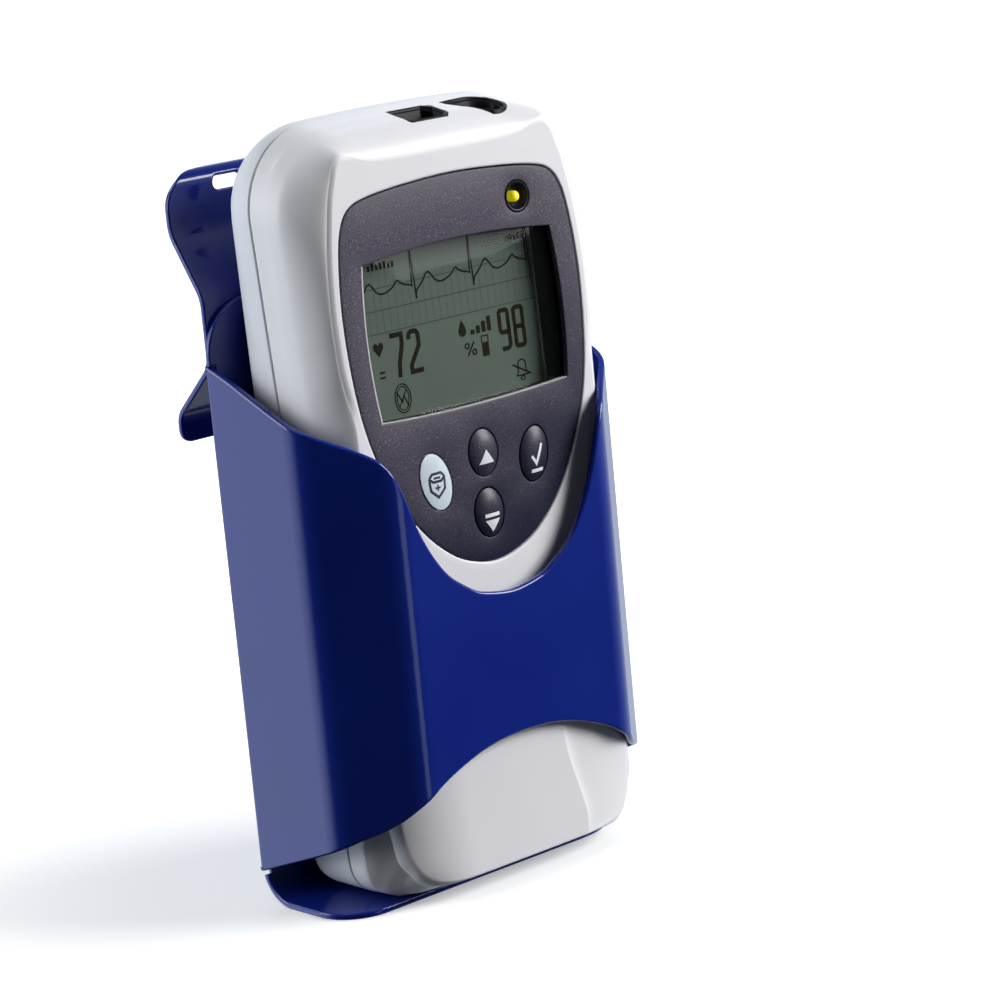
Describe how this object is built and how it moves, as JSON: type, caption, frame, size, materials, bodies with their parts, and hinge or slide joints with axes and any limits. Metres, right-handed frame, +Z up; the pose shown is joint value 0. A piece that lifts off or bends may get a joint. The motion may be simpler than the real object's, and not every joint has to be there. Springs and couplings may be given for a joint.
{
  "type": "portable patient monitor",
  "caption": "Hand-sized clinical patient monitor with display, oval buttons and lead sockets, standing in a bent sheet-metal cradle with a rear hook plate.",
  "frame": {"origin": "middle of the flat underside of the cradle's shelf, 18 mm in front of the back plate", "axes": "+Z up, -Y towards the person looking at the display, +X to that person's right"},
  "size_m": [0.0994, 0.0575, 0.1828],
  "materials": {
    "cradle_blue": "high gloss coating",
    "rivet_steel": "coated over with the sheet",
    "case_pearl": "fine pearl texture, satin",
    "seal_rubber": "matt",
    "pad_rubber": "matt",
    "fascia_grey": "satin with fine sparkle",
    "clear_lens": "clear, polished",
    "black_plastic": "matt",
    "display_glass": "grey-green, polished",
    "light_guide": "milky",
    "flex_foil": "satin",
    "lamp_yellow": "clear-tinted, polished",
    "button_pale": "satin",
    "button_grey": "satin",
    "mat_rubber": "matt",
    "circuit_board": "solder resist, satin",
    "spring_steel": "bright",
    "chip_black": "matt",
    "shield_can": "bright",
    "contact_brass": "bright",
    "battery_case": "satin",
    "latch_grey": "satin",
    "label_white": "satin film, bare",
    "screw_steel": "plated"
  },
  "bodies": {
    "cradle": {"cradle_back_plate": "cradle_blue", "cradle_wrap": "cradle_blue", "cradle_hook_plate": "cradle_blue", "cradle_rivets": "rivet_steel", "cradle_shelf_pad": "pad_rubber"},
    "monitor": {"front_housing": "case_pearl", "rear_housing": "case_pearl", "housing_gasket": "seal_rubber", "front_bezel": "fascia_grey", "display_window": "clear_lens", "lcd_frame": "black_plastic", "lcd_panel": "display_glass", "lcd_backlight": "light_guide", "lcd_flex": "flex_foil", "led_well": "black_plastic", "alarm_led": "lamp_yellow", "keypad_mat": "mat_rubber", "keypad_board": "circuit_board", "dome_switches": "spring_steel", "main_board": "circuit_board", "board_chips": "chip_black", "radio_module": "shield_can", "antenna": "contact_brass", "ecg_socket": "black_plastic", "ecg_contacts": "contact_brass", "spo2_socket": "black_plastic", "spo2_contacts": "contact_brass", "speaker": "chip_black", "battery_pack": "battery_case", "battery_contacts": "contact_brass", "battery_door": "case_pearl", "rear_label": "label_white", "case_screws": "screw_steel", "screw_inserts": "contact_brass", "board_screws": "screw_steel"},
    "nurse_key": {"nurse_button": "button_pale"},
    "up_key": {"up_button": "button_grey"},
    "down_key": {"down_button": "button_grey"},
    "select_key": {"select_button": "button_grey"},
    "latch": {"battery_latch": "latch_grey"}
  },
  "joints": [
    {"name": "monitor_lift", "type": "slide", "parent": "cradle", "child": "monitor", "axis": [0, 0, 1], "range_m": [0, 0.18]},
    {"name": "nurse_press", "type": "slide", "parent": "monitor", "child": "nurse_key", "axis": [0, 0.9989, -0.0469], "range_m": [0, 0.0008], "stiffness_N_per_m": 700, "springref_m": -0.0006},
    {"name": "up_press", "type": "slide", "parent": "monitor", "child": "up_key", "axis": [0, 0.9989, -0.0469], "range_m": [0, 0.0008], "stiffness_N_per_m": 700, "springref_m": -0.0006},
    {"name": "down_press", "type": "slide", "parent": "monitor", "child": "down_key", "axis": [0, 0.9989, -0.0469], "range_m": [0, 0.0008], "stiffness_N_per_m": 700, "springref_m": -0.0006},
    {"name": "select_press", "type": "slide", "parent": "monitor", "child": "select_key", "axis": [0, 0.9989, -0.0469], "range_m": [0, 0.0008], "stiffness_N_per_m": 700, "springref_m": -0.0006},
    {"name": "latch_slide", "type": "slide", "parent": "monitor", "child": "latch", "axis": [0, 0, 1], "range_m": [0, 0.0025], "stiffness_N_per_m": 250, "springref_m": -0.002}
  ]
}
